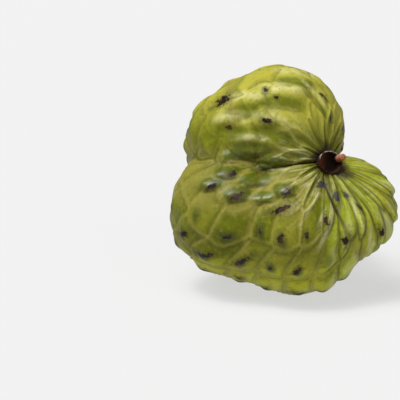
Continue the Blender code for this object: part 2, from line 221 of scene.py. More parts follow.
def scale_fields(polar, turn, radius):
    """For each point: distances to scale edges and the beak, and its scale's random values."""
    rng = np.random.default_rng(JITTER_SEED)
    size = (ROWS_DRAWN, SCALES_AROUND)
    shift_rows = rng.uniform(-JITTER, JITTER, size)
    shift_sides = rng.uniform(-JITTER, JITTER, size)
    tables = {
        "swelling": rng.uniform(0.75, 1.25, size),
        "tint": rng.uniform(0.0, 1.0, size),
        "scar_turn": rng.uniform(0.0, math.pi, size),
        "scar_size": rng.uniform(0.0, 1.0, size),
        "scar_aside": rng.uniform(-1.0, 1.0, size),
    }
    turns = (turn + SCALES_TURN) / (2.0 * math.pi)
    ball = 45.0 * directions(polar, turn)
    fading = np.sin(polar) ** 2
    across = SCALES_AROUND * turns - COLUMN_SHIFT * fading * np.sin(turn - CROWN_TURN)
    across = across + WARP * fading * waves(ball, JITTER_SEED + 2, *WARP_WAVES)
    along = row_number(polar) - ROW_CLIMB * turns + row_shift(turn) * fading
    along = along + WARP * fading * waves(ball, JITTER_SEED + 3, *WARP_WAVES)
    mm_across = 2.0 * math.pi * radius * np.maximum(np.sin(polar), 0.02) / SCALES_AROUND
    mm_along = radius / rows_per_radian(polar, turn)

    owned = np.zeros(polar.shape, dtype=bool)
    fields = {name: np.full(polar.shape, 0.5) for name in tables}
    fields["own"] = np.full(polar.shape, FAR)
    fields["before"] = np.full(polar.shape, FAR)
    fields["beak_down"] = np.full(polar.shape, FAR)
    fields["beak_aside"] = np.full(polar.shape, FAR)
    first = np.floor(along).astype(int) - 2
    for step in range(5):
        row = first + step
        odd = (row + 1) % 2
        column = 2 * np.round((across - odd) / 2.0).astype(int) + odd
        centre = column + of_scale(row, column, shift_sides)
        middle = row + of_scale(row, column, shift_rows)
        aside = np.abs(across - centre)
        from_stem = row + ROW_CLIMB * column / SCALES_AROUND - FIRST_ROW
        widened = np.clip(from_stem / WIDENING, 0.0, 1.0)
        half_width = NARROW_WIDTH + (FULL_WIDTH - NARROW_WIDTH) * widened
        inside = middle + SCALE_TIP - (aside / half_width) ** SCALE_ROUND - along
        slope = SCALE_ROUND * (aside / half_width) ** (SCALE_ROUND - 1.0) / half_width
        steepness = np.sqrt((slope / mm_across) ** 2 + (1.0 / mm_along) ** 2)
        distance = inside / steepness
        real = from_stem >= 0.0
        mine = real & (inside >= 0.0) & ~owned
        fields["own"] = np.where(mine, distance, fields["own"])
        fields["beak_down"] = np.where(mine, (along - middle) * mm_along, fields["beak_down"])
        fields["beak_aside"] = np.where(mine, (across - centre) * mm_across, fields["beak_aside"])
        for name, table in tables.items():
            fields[name] = np.where(mine, of_scale(row, column, table), fields[name])
        owned |= mine
        behind = real & (inside < 0.0) & ~owned
        fields["before"] = np.where(behind, np.minimum(fields["before"], -distance), fields["before"])
    return fields


def smooth_step(values, start, end):
    """Rises smoothly from 0 at the start to 1 at the end."""
    share = np.clip((values - start) / (end - start), 0.0, 1.0)
    return share * share * (3.0 - 2.0 * share)


def band(values, middle, spread):
    """Is 1 in the middle of a band and falls away to both sides."""
    return np.exp(-((values - middle) / spread) ** 2)


def outwards(polar):
    """Is 0 on the pleats round the stem and 1 on the scales further out."""
    return 0.5 + 0.5 * np.tanh((polar - PLEATS_END) / PLEATS_BLEND)


# Zones of the skin: where each starts and where it is full, in millimetres from the fruit's
# middle. RIGHT and LEFT are along X, FRONT along Y, UP and DOWN along Z.
CUSHIONS_UP = (-2.0, 8.0)
RIBS_RIGHT = (8.0, 18.0)
RIBS_DOWN = (12.0, 2.0)
FOLD_HEIGHT = 2.5                # middle of the fold left of the stem
FOLD_SPREAD = 12.0
FOLD_LEFT = (14.0, 0.0)
FOLD_FRONT = (6.0, -6.0)
CALM_RIGHT = (2.0, 22.0)         # at the fruit's middle, and further left above it
CALM_SLANT = 0.5
CALM_UP = (8.0, 22.0)
SWOLLEN_UP = (6.0, 14.0)
SWOLLEN_LEFT = (16.0, 4.0)


def cushioned(points, outward):
    """Where scales swell as soft cushions: on the crown."""
    return smooth_step(points[:, 2], *CUSHIONS_UP) * outward


def ribbed(points):
    """Where the pleats swell as ribs: on the right lobe."""
    return smooth_step(points[:, 0], *RIBS_RIGHT) * smooth_step(points[:, 2], *RIBS_DOWN)


def knobbed(points):
    """Where even skin carries knobs in place of scales: in the fold left of the stem."""
    in_fold = np.exp(-((points[:, 2] - FOLD_HEIGHT) / FOLD_SPREAD) ** 4)
    return in_fold * smooth_step(points[:, 0], *FOLD_LEFT) * smooth_step(points[:, 1], *FOLD_FRONT)


def calm(points):
    """Where the relief is low: over the crown's right shoulder."""
    slanting = points[:, 0] + CALM_SLANT * points[:, 2]
    return smooth_step(slanting, *CALM_RIGHT) * smooth_step(points[:, 2], *CALM_UP)


# The crown's swellings and the knobs below them are placed one by one, in a plane that stands
# before the fruit and leans back a little. Long level swellings: how far right and up from the
# fruit's middle, half length, half height, how proud they stand and their slope to the right.
FRONT_LEAN = math.radians(15.0)
FRONT_BLEND = 9.0                # distance forward over which they reach their full height
SWELLINGS = (
    (-18.0, 28.0, 8.5, 4.6, 1.7, 0.00),
    (-23.0, 19.0, 8.0, 4.0, 1.4, -0.05),
    (-6.5, 18.5, 9.5, 4.2, 1.7, -0.22),
    (-2.5, 31.0, 10.5, 4.8, 1.5, -0.06),
    (3.0, 39.0, 9.0, 3.4, 0.9, -0.10),
    (-14.0, 11.5, 7.0, 3.2, 1.1, -0.05),
    (11.0, 30.5, 6.0, 2.6, 0.9, -1.15),
)
SWELLING_ARCH = 1.2              # how far the ends of a swelling hang down
SWELLING_STEEP = 1.5             # how much steeper its lower side is than its upper side
# Bands along a swelling: middle and spread, in half heights above its ridge.
# The upper band is a painted highlight, the lower band painted shade and the line at the foot a painted
# shade line.
PAINTED_HIGHLIGHT_BAND = (0.55, 0.5)
PAINTED_SHADE_BAND = (-0.85, 0.75)
PAINTED_SHADE_LINE = (-1.35, 0.16)
# Smaller knobs in the fold: right, up, half length and half height.
KNOBS = (
    (-21.3, 6.2, 5.2, 2.5),
    (-5.0, 3.8, 5.6, 2.3),
    (-13.5, -3.6, 6.2, 2.6),
    (-24.5, -0.8, 5.0, 2.4),
    (-10.5, 0.8, 4.6, 1.6),
    (8.0, 6.6, 4.6, 2.6),
    (-1.5, -7.5, 5.0, 2.8),
    (-13.5, 7.0, 4.4, 1.8),
    (-20.5, -9.5, 5.4, 2.8),
    (-10.5, -11.0, 4.6, 2.2),
    (-31.0, -5.5, 4.6, 2.4),
)
KNOB_SLOPE = 0.12                # how steeply they rise to the right
KNOB_ROUND = 1.35                # exponent of their rounded shape
KNOB_SHADE = (-1.15, 0.4)        # the band of shade under a knob


def front_places(points):
    """How far right and up of the fruit's middle in the leaning plane, and 1 in front of it."""
    up = points[:, 2] * math.cos(FRONT_LEAN) + points[:, 1] * math.sin(FRONT_LEAN)
    forward = points[:, 2] * math.sin(FRONT_LEAN) - points[:, 1] * math.cos(FRONT_LEAN)
    return points[:, 0], up, smooth_step(forward, 0.0, FRONT_BLEND)


def swellings(points):
    """Height of the crown's swellings, and the share of a point in the painted highlight on their upper
    side, in the painted shade on their lower side and in the painted shade line under them.
    """
    right, up, forward = front_places(points)
    height, painted_highlight_above, painted_shade_below, painted_shade_foot = np.zeros((4, len(points)))
    for across, level, half_length, half_height, proud, slope in SWELLINGS:
        along = (right - across) / half_length
        over = (up - level - slope * (right - across) + SWELLING_ARCH * along ** 2) / half_height
        length_share = np.exp(-along ** 4) * forward
        steeper = np.where(over > 0.0, over, SWELLING_STEEP * over)
        height = np.maximum(height, proud * length_share * np.exp(-steeper ** 2))
        painted_highlight_above = np.maximum(painted_highlight_above, length_share * band(over, *PAINTED_HIGHLIGHT_BAND))
        painted_shade_below = np.maximum(painted_shade_below, length_share * band(over, *PAINTED_SHADE_BAND))
        painted_shade_foot = np.maximum(painted_shade_foot, length_share * band(over, *PAINTED_SHADE_LINE))
    return height, painted_highlight_above, painted_shade_below, painted_shade_foot


def knob_shape(points):
    """How much of a point is on one of the knobs, and how much in the shade under it."""
    right, up, forward = front_places(points)
    shape, under = np.zeros((2, len(points)))
    for across, level, half_length, half_height in KNOBS:
        along = (right - across) / half_length
        over = (up - level - KNOB_SLOPE * (right - across)) / half_height
        shape = np.maximum(shape, np.exp(-(along ** 2 + over ** 2) ** KNOB_ROUND) * forward)
        under = np.maximum(under, np.exp(-along ** 4) * band(over, *KNOB_SHADE) * forward)
    return shape, under


def crown_front(points):
    """Where the swellings take the place of the scales."""
    _, up, forward = front_places(points)
    return forward * smooth_step(up, *SWOLLEN_UP) * smooth_step(points[:, 0], *SWOLLEN_LEFT)


def beak_shape(fields):
    """The blunt point on the face of each scale."""
    return np.exp(-(fields["beak_down"] / BEAK_LENGTH) ** 2 - (fields["beak_aside"] / BEAK_WIDTH) ** 2)


def skin_relief(polar, turn, radius, fields):
    """Height of the scales above the flesh."""
    outward = outwards(polar)
    points = directions(polar, turn) * radius[:, None]
    edge_height = PLEAT_HEIGHT + (EDGE_HEIGHT - PLEAT_HEIGHT) * outward
    inner_slope = np.exp(-(fields["own"] / EDGE_INSIDE) ** 1.5)
    outer_slope = np.exp(-(fields["before"] / EDGE_OUTSIDE) ** 1.5)
    edge = edge_height * np.maximum(inner_slope, outer_slope)
    rising = 1.0 - np.exp(-fields["before"] / FACE_SLOPE)
    falling = 1.0 - FACE_FALL * np.exp(-fields["own"] / FACE_SLOPE)
    level = outward * FACE_HEIGHT * rising * falling
    face = outward * fields["swelling"] * BEAK_HEIGHT * beak_shape(fields) * falling
    relief = (edge ** 4 + (level + face) ** 4) ** 0.25

    nearest_edge = np.minimum(fields["own"], fields["before"])
    cushion = CUSHION_HEIGHT * smooth_step(nearest_edge, 0.0, CUSHION_WIDTH)
    cushion = cushion + CUSHION_FACE * level + CUSHION_BEAK * face
    crown_share = cushioned(points, outward)
    relief = relief + (cushion - relief) * crown_share
    from_edge = np.minimum(nearest_edge / CUSHION_WIDTH, 1.0)
    rib = RIB_HEIGHT * (1.0 - (1.0 - from_edge) ** 2) + RIB_BEAK * face
    relief = relief + (rib - relief) * np.maximum(RIB_SHARE * ribbed(points) - crown_share, 0.0)
    relief = relief * (1.0 - CALM_LOSS * calm(points) * outward)
    relief = relief * (1.0 - CROWN_LOSS * crown_front(points) * outward) + swellings(points)[0]
    fold = FOLD_RISE + FOLD_SCALES * relief + KNOB_HEIGHT * knob_shape(points)[0]
    relief = relief + (fold - relief) * knobbed(points)

    clear_of_stem = 1.0 - np.exp(-(polar * radius / STEM_CLEAR) ** 4)
    clear_of_tip = 1.0 - np.exp(-((math.pi - polar) * radius / TIP_CLEAR) ** 2)
    ripple = RIPPLE_HEIGHT * waves(points, JITTER_SEED + 1, *RIPPLE_WAVES)
    return relief * clear_of_stem * clear_of_tip + ripple * clear_of_stem


def angles(points):
    """Polar angle from the stem axis and turn about it, of points seen from the fruit's middle."""
    polar = np.arccos(np.clip(points @ AXIS / np.linalg.norm(points, axis=1), -1.0, 1.0))
    return np.clip(polar, 0.0005, math.pi - 0.0005), np.arctan2(points @ UPWARD, points @ ACROSS)


def vertex_array(mesh):
    """The mesh's vertices as an array."""
    flat = np.empty(len(mesh.vertices) * 3)
    mesh.vertices.foreach_get("co", flat)
    return flat.reshape(-1, 3)


bpy.ops.mesh.primitive_uv_sphere_add(segments=SKIN_SEGMENTS, ring_count=SKIN_RINGS, radius=1.0)
fruit = bpy.context.object
fruit.name = "fruit_skin"
turned = vertex_array(fruit.data) @ np.array([ACROSS, UPWARD, AXIS])
polar, turn = angles(turned)
radius, _ = flesh_radius(polar, turn)
radius = radius + skin_relief(polar, turn, radius, scale_fields(polar, turn, radius))
points = directions(polar, turn) * radius[:, None] + MIDDLE
points[:, 2] = np.maximum(points[:, 2], 0.0)
fruit.data.vertices.foreach_set("co", (points * MM).ravel())
fruit.data.update()
bpy.ops.object.shade_smooth()

# The stalk's socket at the bottom of the hollow.
COLLAR_AXIS = (0.45, -0.83, 0.33)
COLLAR_ACROSS = 5.5              # radii of the oval collar
COLLAR_UP = 4.7
COLLAR_SHIFT = (-1.1, -0.3)      # off the middle of the hollow, across and up
COLLAR_FOOT = -3.0               # its foot, from the bottom of the hollow
SOCKET_GAP = 0.15
SOCKET_TOP = 16.0

collar_axis = unit(COLLAR_AXIS)
collar_side, collar_rise = square_frame(collar_axis)
collar_middle = AXIS * STEM_DEPTH + MIDDLE + COLLAR_SHIFT[0] * collar_side + COLLAR_SHIFT[1] * collar_rise
collar_place = Matrix.Translation(Vector(collar_middle * MM))
collar_place @= Matrix((collar_side, collar_rise, collar_axis)).transposed().to_4x4()


def combine(piece, other, operation):
    """Cuts one piece with another or joins them. The other is used up."""
    bpy.ops.object.select_all(action="DESELECT")
    bpy.context.view_layer.objects.active = piece
    piece.select_set(True)
    modifier = piece.modifiers.new("combine", "BOOLEAN")
    modifier.operation = operation
    modifier.solver = "EXACT"
    modifier.object = other
    bpy.ops.object.modifier_apply(modifier=modifier.name)
    bpy.data.objects.remove(other, do_unlink=True)


bpy.ops.mesh.primitive_cylinder_add(vertices=64, radius=MM, depth=(SOCKET_TOP - COLLAR_FOOT) * MM)
socket = bpy.context.object
socket.scale = (COLLAR_ACROSS + SOCKET_GAP, COLLAR_UP + SOCKET_GAP, 1.0)
bpy.ops.object.transform_apply(location=False, rotation=False, scale=True)
socket.data.transform(collar_place @ Matrix.Translation((0.0, 0.0, (SOCKET_TOP + COLLAR_FOOT) / 2.0 * MM)))
combine(fruit, socket, "DIFFERENCE")

# Scars, one at the point of most scales.
SCAR_SHARE = 0.96                # share of the scales that have one
SCAR_LESS = 0.50                 # how much smaller that share is where scars are fewer
FEWER_RIGHT = (0.0, 22.0)        # fewer on the right lobe, in millimetres from the fruit's middle
FEWER_UP = (14.0, 26.0)          # on the crown
FEWER_ABOVE = (-2.0, 4.0)        # and on the pleats above the stem
FEWER_NEAR = (40.0, 30.0)        # up to this far from it
SCAR_LENGTH = 4.6                # half length of the longest scar
SCAR_SHORTEST = 0.25             # the shortest, as a share of that
SCAR_WIDTH = 1.05                # half width
SCAR_ALONG = (0.80, 0.10, 0.60)  # the way most of the scars run
SCAR_SWING = 0.9                 # radians by which they swing about it
PLEAT_SCAR = 0.35                # length of a scar on a pleat, as a share of one on a scale
TIP_NEAR = (48.0, 6.0)           # distance from the tip over which scars get smaller
TIP_SHORTER = 0.6                # share of their length and width that they lose there
TIP_NARROWER = 0.45
NO_SCAR = 6.0                    # stands for a place far from any scar
# Scars placed one by one on the front: right, up, half length, half width and slope.
PLACED_SCARS = (
    (-26.5, 28.5, 3.2, 1.3, 0.7),
    (-8.8, 32.3, 0.9, 0.8, 0.0),
    (-4.6, 29.4, 0.9, 0.5, -0.4),
    (-8.5, 19.8, 1.8, 0.9, -0.2),
    (-24.0, 17.6, 1.2, 0.8, 0.0),
    (-22.5, -1.5, 1.8, 0.8, 0.5),
    (-1.2, -9.0, 1.8, 1.1, 0.3),
    (-21.0, -10.5, 2.8, 1.1, 0.5),
    (-3.5, -16.0, 3.8, 1.1, 0.4),
    (-31.0, -6.5, 2.0, 0.9, 0.6),
    (13.6, -5.9, 1.9, 1.5, 0.0),
    (19.3, -10.2, 0.7, 1.4, 0.0),
    (23.2, -10.3, 1.3, 0.7, -0.8),
    (28.5, -15.0, 1.7, 0.5, -1.2),
)


def scale_scars(points, polar, turn, radius, fields):
    """How far each point is from the scar of its scale, where 1 is the scar's border."""
    level = np.full(len(polar), math.pi / 2.0)
    down = np.cos(polar)[:, None] * directions(level, turn) - np.sin(polar)[:, None] * AXIS
    aside = directions(level, turn + math.pi / 2.0)
    swing = np.arctan2(aside @ unit(SCAR_ALONG), down @ unit(SCAR_ALONG))
    swing = swing + SCAR_SWING * (fields["scar_turn"] / math.pi - 0.5)
    scar_down = fields["beak_down"]
    scar_aside = fields["beak_aside"] - fields["scar_aside"]
    tip = smooth_step((math.pi - polar) * radius, *TIP_NEAR)
    length = SCAR_LENGTH * (SCAR_SHORTEST + (1.0 - SCAR_SHORTEST) * fields["scar_size"] ** 1.3)
    length = length * (PLEAT_SCAR + (1.0 - PLEAT_SCAR) * outwards(polar)) * (1.0 - TIP_SHORTER * tip)
    width = SCAR_WIDTH * (1.0 - TIP_NARROWER * tip)
    along = (scar_down * np.cos(swing) + scar_aside * np.sin(swing)) / length
    across = (scar_aside * np.cos(swing) - scar_down * np.sin(swing)) / width
    distance = np.sqrt(along ** 2 + across ** 2)

    fewer = np.maximum(smooth_step(points[:, 0], *FEWER_RIGHT), smooth_step(points[:, 2], *FEWER_UP))
    pleats = smooth_step(points[:, 2], *FEWER_ABOVE) * smooth_step(polar * radius, *FEWER_NEAR)
    fewer = np.maximum(np.maximum(fewer, pleats), tip)
    drawn = (fields["tint"] * 7.3) % 1.0        # one more random value of the scale
    scarred = drawn < SCAR_SHARE - SCAR_LESS * fewer
    return np.where(scarred, np.minimum(distance, NO_SCAR), NO_SCAR)


def placed_scars(points):
    """The same for the scars placed one by one."""
    right, up, forward = front_places(points)
    distance = np.full(len(points), NO_SCAR)
    for across, level, half_length, half_width, slope in PLACED_SCARS:
        tilt = math.atan(slope)
        along = (right - across) * math.cos(tilt) + (up - level) * math.sin(tilt)
        beside = (up - level) * math.cos(tilt) - (right - across) * math.sin(tilt)
        distance = np.minimum(distance, np.sqrt((along / half_length) ** 2 + (beside / half_width) ** 2))
    return np.where(forward > 0.5, distance, NO_SCAR)


def store(mesh, name, values):
    """Keeps one number for each vertex under a name."""
    attribute = mesh.attributes.new(name, "FLOAT", "POINT")
    attribute.data.foreach_set("value", np.asarray(values, dtype=np.float32))


# What the skin's material needs to know at each point, kept as attributes of the mesh.
NO_EDGE = 8.0                    # longest distance to an edge that is kept
RIPE_AND_LIT_UP = (4.0, 32.0)            # heights over which the skin ripens and is painted lighter as top light, more so on the right
RIPE_AND_LIT_SLANT = 0.15
LOW_DOWN = (22.0, 38.0)          # depths over which the underside gets brighter
GREEN_RIBS_RIGHT = (10.0, 22.0)  # the right lobe's ribs of fresh green
GREEN_RIBS_DOWN = (14.0, 4.0)
STREAKS = 11.0                   # a sixth of the fine streaks counted once round the stem

points = vertex_array(fruit.data) / MM - MIDDLE
polar, turn = angles(points)
radius, crease = flesh_radius(polar, turn)
fields = scale_fields(polar, turn, radius)
outward = outwards(polar)
scar = scale_scars(points, polar, turn, radius, fields)
scar = scar + NO_SCAR * np.maximum(crown_front(points), knobbed(points))
_, painted_highlight_above, painted_shade_below, painted_shade_foot = swellings(points)
knob, under_knob = knob_shape(points)
skin_facts = {
    "from_stem": polar * radius,
    "outward": outward,
    "crease": np.clip(crease / CREASE_FULL, 0.0, 1.5),
    "edge": np.minimum(np.minimum(fields["own"], fields["before"]), NO_EDGE),
    "before": np.minimum(fields["before"], NO_EDGE),
    "beak": beak_shape(fields) * outward,
    "tint": fields["tint"],
    "scar": np.minimum(np.minimum(scar, placed_scars(points)), NO_SCAR),
    "cushion": np.maximum(cushioned(points, outward), RIB_SHARE * ribbed(points)),
    "calm": calm(points),
    "crown_front": crown_front(points),
    # Painted highlight on the swellings' upper sides, painted shade on their lower sides and a painted shade
    # line at their feet.
    "painted_highlight_above": painted_highlight_above,
    "painted_shade_below": painted_shade_below,
    "painted_shade_foot": painted_shade_foot,
    "knobs": knobbed(points),
    "knob": knob,
    "under_knob": under_knob,
    # Yellower with ripeness, and painted lighter towards the top as top light.
    "ripe_and_lit": smooth_step(points[:, 2] + RIPE_AND_LIT_SLANT * points[:, 0], *RIPE_AND_LIT_UP),
    "low": smooth_step(-points[:, 2], *LOW_DOWN),
    "rib": smooth_step(points[:, 0], *GREEN_RIBS_RIGHT) * smooth_step(points[:, 2], *GREEN_RIBS_DOWN),
}
for name, values in skin_facts.items():
    store(fruit.data, name, values)
streaks = fruit.data.attributes.new("streaks", "FLOAT_VECTOR", "POINT")
around = np.stack([STREAKS * np.cos(turn), STREAKS * np.sin(turn), 2.0 * polar], axis=1)
streaks.data.foreach_set("vector", around.astype(np.float32).ravel())


def colour(code):
    """A linear colour from its sRGB hex code."""
    parts = [int(code[i:i + 2], 16) / 255.0 for i in (1, 3, 5)]
    linear = [c / 12.92 if c <= 0.04045 else ((c + 0.055) / 1.055) ** 2.4 for c in parts]
    return (*linear, 1.0)


def add_node(tree, kind, inputs=None, **settings):
    """Adds a node. An input takes a value, or the output of another node to link to."""
    node = tree.nodes.new(kind)
    for name, value in settings.items():
        setattr(node, name, value)
    for name, value in (inputs or {}).items():
        if isinstance(value, bpy.types.NodeSocket):
            tree.links.new(value, node.inputs[name])
        else:
            node.inputs[name].default_value = value
    return node


def painted(tree, base, layers, sources):
    """Paints layers of colour over a base. The share of each is the product of its conditions."""
    paint = colour(base)
    for code, share, conditions in layers:
        for source, start, full in conditions:
            share = add_node(tree, "ShaderNodeMapRange", {
                "Value": sources[source], "From Min": start, "From Max": full, "To Max": share,
            }, interpolation_type="SMOOTHSTEP").outputs["Result"]
        paint = add_node(tree, "ShaderNodeMix", {0: share, 6: paint, 7: colour(code)},
                         data_type="RGBA").outputs[2]
    return paint


# Waxy fruit skin: living cells under a thin natural wax, yellow green where it has ripened,
# with pale corky edges round the scales and brown-black scars where the points were rubbed.
# The colour is also painted lighter towards the top as top light, with painted highlights
# on the crown's swellings and the ribs, and painted shade under the swellings, between the
# pleats and in the creases. It gives broad soft highlights and no sharp reflections.
waxy_skin = bpy.data.materials.new("waxy_fruit_skin")
waxy_skin.use_nodes = True
tree = waxy_skin.node_tree
shader = tree.nodes["Principled BSDF"]
place = add_node(tree, "ShaderNodeTexCoord").outputs["Object"]
sources = {}
for name in skin_facts:
    sources[name] = add_node(tree, "ShaderNodeAttribute", attribute_name=name).outputs["Fac"]
# Noises: the size of their patches in millimetres, their detail and their roughness.
for name, size, detail, roughness in (
        ("broad", 24.0, 2.0, 0.5), ("patchy", 7.0, 3.0, 0.6), ("mottle", 1.7, 3.0, 0.65),
        ("fine", 0.6, 2.0, 0.6), ("speck", 1.1, 1.0, 0.5), ("speck_patch", 11.0, 2.0, 0.5),
        ("worn", 3.5, 3.0, 0.6)):
    sources[name] = add_node(tree, "ShaderNodeTexNoise", {
        "Vector": place, "Scale": 1.0 / (size * MM), "Detail": detail, "Roughness": roughness,
    }).outputs["Fac"]
streak_place = add_node(tree, "ShaderNodeAttribute", attribute_name="streaks").outputs["Vector"]
sources["streak"] = add_node(tree, "ShaderNodeTexNoise", {
    "Vector": streak_place, "Scale": 1.0, "Detail": 3.0, "Roughness": 0.6,
}).outputs["Fac"]
# Masks with ragged borders: a source, plus a noise times an amount.
for name, source, noise, amount in (
        ("ragged_scar", "scar", "mottle", 3.4), ("ragged_edge", "edge", "worn", 1.5),
        ("ragged_stem", "from_stem", "patchy", 14.0), ("ragged_ripe_and_lit", "ripe_and_lit", "patchy", 0.7)):
    sources[name] = add_node(tree, "ShaderNodeMath", {0: sources[noise], 1: amount, 2: sources[source]},
                             operation="MULTIPLY_ADD").outputs[0]
# Layers of colour over the green: colour, greatest share, and what the share depends on, each
# with the value at which it starts and the value at which it is full.
skin_layers = (
    # Yellower and lighter towards the top, for ripeness and as painted top light, brighter below and on the
    # ribs, and broad uneven patches.
    ("#959234", 0.95, (("ragged_ripe_and_lit", 0.30, 1.15), ("from_stem", 5.0, 24.0))),
    ("#AAAC1C", 0.92, (("low", 0.0, 1.0),)),
    ("#929C1E", 0.80, (("rib", 0.0, 1.0),)),
    ("#8C8818", 0.35, (("broad", 0.45, 0.65),)),
    ("#4A5206", 0.50, (("patchy", 0.50, 0.72), ("ripe_and_lit", 0.9, 0.3))),
    ("#948C34", 0.30, (("tint", 0.55, 1.0),)),
    # Deeper green on the points and the knobs, khaki between the knobs and shade under them.
    ("#384404", 0.75, (("beak", 0.10, 0.90), ("ripe_and_lit", 0.9, 0.2), ("knobs", 1.0, 0.5))),
    ("#7C7434", 0.50, (("knob", 0.6, 0.15), ("knobs", 0.2, 0.8))),
    ("#465006", 0.88, (("knob", 0.20, 0.50), ("knobs", 0.1, 0.5))),
    ("#352C08", 0.75, (("under_knob", 0.2, 0.9), ("knobs", 0.1, 0.5))),
    # The crown's swellings: painted shade in green below, a painted shade line in brown at the foot and a
    # painted highlight above.
    ("#555B06", 0.85, (("painted_shade_below", 0.15, 0.85),)),
    ("#5A6008", 0.50, (("crown_front", 0.2, 0.9), ("ripe_and_lit", 0.9, 0.5))),
    ("#4E4214", 0.65, (("painted_shade_foot", 0.2, 0.9), ("worn", 0.42, 0.58))),
    ("#BFBA86", 0.48, (("painted_highlight_above", 0.10, 0.95), ("worn", 0.25, 0.60))),
    # Painted highlights on the backs of the ribs, and painted shade where a face dips under the scale before
    # it.
    ("#C4C67E", 0.45, (("rib", 0.3, 1.0), ("edge", 1.0, 2.6), ("patchy", 0.36, 0.60))),
    ("#40460A", 0.50, (("before", 3.2, 0.9), ("outward", 0.2, 0.9), ("edge", 0.4, 1.2))),
    # Painted shade in the hollows between the pleats, a little darker towards the stem, and khaki in the
    # creases.
    ("#464A0C", 0.08, (("from_stem", 26.0, 12.0),)),
    ("#363A08", 0.34, (("edge", 0.9, 1.8), ("from_stem", 28.0, 12.0), ("outward", 0.7, 0.2))),
    ("#7A6E30", 0.55, (("crease", 0.45, 1.0), ("beak", 0.6, 0.2))),
    # Corky edges of the scales and of the pleats, and fine streaks along the pleats.
    ("#7A7432", 0.74, (("ragged_edge", 2.5, 0.5), ("patchy", 0.22, 0.48), ("cushion", 1.0, 0.2),
                       ("knob", 0.5, 0.1), ("from_stem", 22.0, 34.0))),
    ("#9A945A", 0.50, (("ragged_edge", 1.6, 0.7), ("outward", 0.8, 0.3), ("from_stem", 8.0, 14.0),
                       ("calm", 1.2, 0.4))),
    ("#B6B08A", 0.48, (("streak", 0.54, 0.66), ("outward", 0.90, 0.3), ("from_stem", 6.5, 11.0),
                       ("calm", 1.2, 0.4))),
    ("#3A3C10", 0.48, (("streak", 0.46, 0.36), ("outward", 0.90, 0.3), ("calm", 0.9, 0.3))),
    # Painted shade as thin dark lines between cushions, fine mottling, and near-black painted shade in the
    # crease beside the stem.
    ("#3C3E0C", 0.75, (("edge", 0.9, 0.2), ("cushion", 0.2, 1.0), ("ripe_and_lit", 0.8, 0.2),
                       ("crown_front", 0.8, 0.1))),
    ("#A4A244", 0.16, (("mottle", 0.54, 0.70),)),
    ("#444C08", 0.35, (("mottle", 0.46, 0.34),)),
    ("#1C1705", 0.92, (("crease", 0.70, 0.95), ("from_stem", 36.0, 20.0))),
    # Brown specks, then scars with a dull border and a brown bloom, grey near the stem.
    ("#6B4E22", 0.70, (("speck", 0.66, 0.74), ("speck_patch", 0.48, 0.62))),
    ("#3A3A0A", 0.55, (("ragged_scar", 5.0, 2.7),)),
    ("#1A110B", 1.00, (("ragged_scar", 2.85, 2.55),)),
    ("#3C2410", 0.75, (("ragged_scar", 3.0, 2.7), ("worn", 0.50, 0.62))),
    ("#383636", 0.80, (("ragged_scar", 2.9, 2.5), ("from_stem", 25.0, 20.0))),
    # Dead skin round the stalk.
    ("#2A2018", 0.90, (("ragged_stem", 17.0, 11.5),)),
)
tree.links.new(painted(tree, "#505603", skin_layers, sources), shader.inputs["Base Color"])
# The wax is smoother and shines more on the knobs, and shines a little more on the points.
dull = add_node(tree, "ShaderNodeMapRange", {
    "Value": sources["knob"], "From Min": 0.9, "From Max": 0.1, "To Min": 0.28, "To Max": 0.42,
}).outputs["Result"]
roughness = add_node(tree, "ShaderNodeMath", {0: sources["mottle"], 1: 0.12, 2: dull},
                     operation="MULTIPLY_ADD").outputs[0]
tree.links.new(roughness, shader.inputs["Roughness"])
gloss = add_node(tree, "ShaderNodeMath", {0: sources["knob"], 1: 0.20, 2: 0.13},
                 operation="MULTIPLY_ADD").outputs[0]
gloss = add_node(tree, "ShaderNodeMath", {0: sources["beak"], 1: 0.10, 2: gloss},
                 operation="MULTIPLY_ADD").outputs[0]
tree.links.new(gloss, shader.inputs["Specular IOR Level"])
shader.inputs["IOR"].default_value = 1.45
shader.inputs["Subsurface Weight"].default_value = 0.06
shader.inputs["Subsurface Radius"].default_value = (1.0, 0.9, 0.2)
shader.inputs["Subsurface Scale"].default_value = 2.0 * MM
grit = add_node(tree, "ShaderNodeMath", {0: sources["mottle"], 1: 1.5, 2: sources["fine"]},
                operation="MULTIPLY_ADD").outputs[0]
bump = add_node(tree, "ShaderNodeBump", {"Strength": 0.4, "Distance": 0.12 * MM, "Height": grit})
tree.links.new(bump.outputs["Normal"], shader.inputs["Normal"])
fruit.data.materials.append(waxy_skin)
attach(fruit, "root")
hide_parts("fruit")


# ==== The stalk's collar ==================================================================
# The torn woody end of the stalk, left in the hollow when the fruit was picked: an oval cup
# of dry bark with a ragged rim, dark inside from its bark and from painted shade, and a splinter
# of paler wood standing on it.

CUP_TOP = 2.9                    # rim above the bottom of the hollow
WALL = 0.35                      # thickness of the rim
CUP_STEPS = ((0.9, 1.0), (1.2, 0.98), (1.3, 0.95), (0.9, 0.85))  # depth and narrowing inside
FLOOR_RINGS = (1.2, 1.0)         # widths of the rings of its floor
CUP_CUTS = (2.2, 1.0)            # heights of extra rings of edges
COLLAR_SIDES = 96
RIM_TEAR = 0.50                  # how far the rim is torn up and down
TORN_FOOT = 0.8                  # height at which the tearing starts
TORN_OVER = 2.0                  # and over which it grows
FIBRE_DEPTH = 0.018              # depth of the fibres, as a share of the radius
CUP_FIT = 0.985                  # keeps them inside the socket
SPLINTER_RADIUS = 1.45
SPLINTER_TOP = 5.2
SPLINTER_CROWN = 0.12            # rise of each ring of its rounded end
SPLINTER_RINGS = (0.35, 0.5)     # widths of those rings
SPLINTER_CUTS = (1.5, 3.0, 4.2, 5.2)
SPLINTER_OUT = 4.3               # from the collar's axis
SPLINTER_TURN = 0.50             # radians round it
